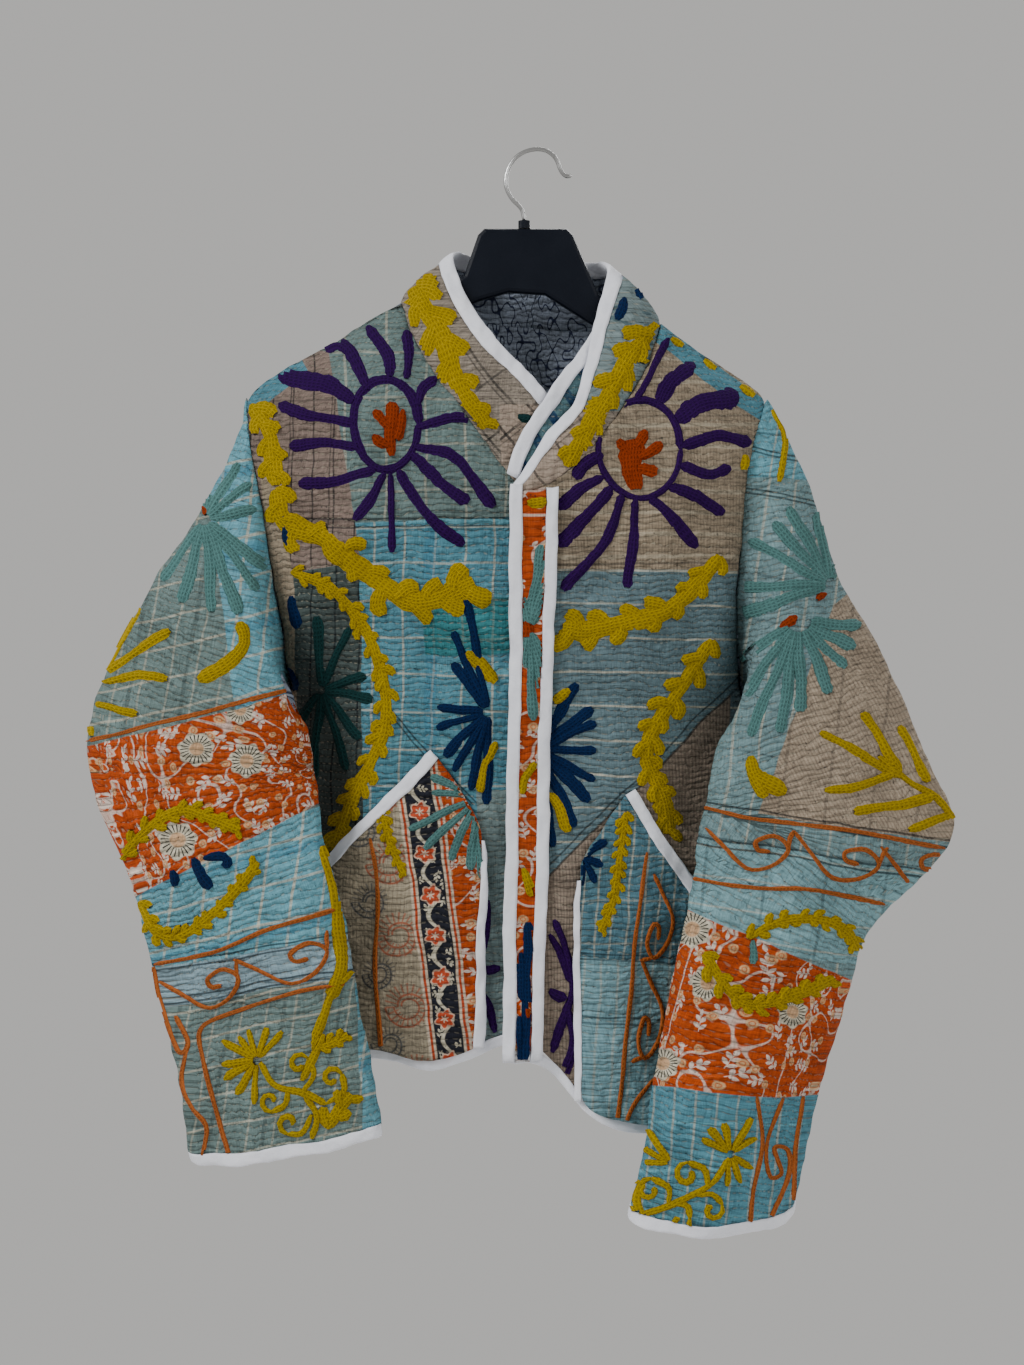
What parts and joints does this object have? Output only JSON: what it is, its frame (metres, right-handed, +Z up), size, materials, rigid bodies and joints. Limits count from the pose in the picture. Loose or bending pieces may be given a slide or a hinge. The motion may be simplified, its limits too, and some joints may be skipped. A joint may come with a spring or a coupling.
{
  "type": "kantha jacket on a hanger",
  "caption": "Short boxy quilted patchwork jacket with a crossed stand collar, wide sleeves, patch pockets and white bindings, hung on a shoulder hanger by a wire hook.",
  "frame": {"origin": "the inside top of the wire hook, where it bears on what holds it", "axes": "+Z up; -Y is the front of the jacket; +X is the wearer's left, which is to the right of someone who looks at the front"},
  "size_m": [0.6695, 0.1966, 0.8296],
  "materials": {
    "front_cloth": "quilted cotton patchwork in blue-green and beige plaids, with rows of running stitch and wool chain-stitch embroidery",
    "back_cloth": "quilted cotton patchwork in grey-blue plaid, with a dark grey-blue cotton inside",
    "sleeve_cloth": "quilted cotton patchwork in blue plaids with bands of orange print",
    "collar_cloth": "quilted cotton in beige and grey-blue plaid",
    "pocket_cloth": "quilted cotton, beige print and teal-blue plaid",
    "placket_cloth": "orange printed cotton",
    "underlap_cloth": "grey-blue quilted cotton",
    "binding": "plain white cotton, folded over the edges and stitched",
    "hanger_plastic": "black, satin, with rounded edges",
    "ferrule_plastic": "black",
    "hook_wire": "plated steel wire, bright"
  },
  "bodies": {
    "root": {"back": "back_cloth", "collar": "collar_cloth", "collar_binding": "binding", "collar_underlap": "underlap_cloth", "collar_underlap_binding": "binding", "cuff_binding_left": "binding", "cuff_binding_right": "binding", "front_left": "front_cloth", "front_right": "front_cloth", "hanger_body": "hanger_plastic", "hanger_ferrule": "ferrule_plastic", "hanger_hook": "hook_wire", "hem_binding_back": "binding", "hem_binding_front_left": "binding", "hem_binding_front_right": "binding", "placket": "placket_cloth", "placket_binding_edge": "binding", "placket_binding_inner": "binding", "pocket_edge_binding_left": "binding", "pocket_edge_binding_right": "binding", "pocket_left": "pocket_cloth", "pocket_mouth_binding_left": "binding", "pocket_mouth_binding_right": "binding", "pocket_right": "pocket_cloth", "sleeve_left": "sleeve_cloth", "sleeve_right": "sleeve_cloth"}
  },
  "joints": []
}
